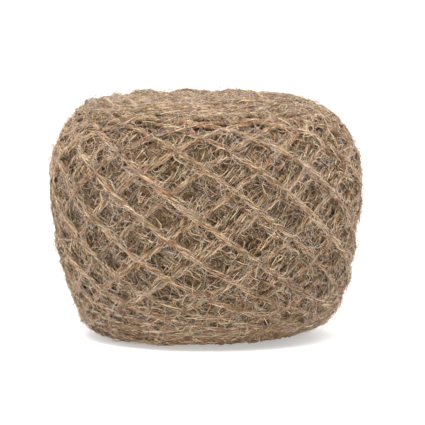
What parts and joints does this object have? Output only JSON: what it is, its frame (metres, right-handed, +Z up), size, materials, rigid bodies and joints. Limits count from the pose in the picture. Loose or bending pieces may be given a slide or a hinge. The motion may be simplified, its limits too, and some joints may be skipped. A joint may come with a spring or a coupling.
{
  "type": "ball of alpaca yarn",
  "caption": "Barrel-shaped wound ball of soft heathered brown yarn with criss-cross turns, a nearly flat top and a flat spot to rest on.",
  "frame": {"origin": "on the flat spot that the ball rests on, under the middle of the ball", "axes": "+Z up along the axis that the yarn is wound round, -Y towards the side that the picture shows, +X to its right"},
  "size_m": [0.0949, 0.0948, 0.0725],
  "materials": {
    "alpaca_yarn": "soft, fuzzy, heathered brown with rust, cream and grey flecks"
  },
  "bodies": {
    "root": {"wound_yarn": "alpaca_yarn"}
  },
  "joints": []
}
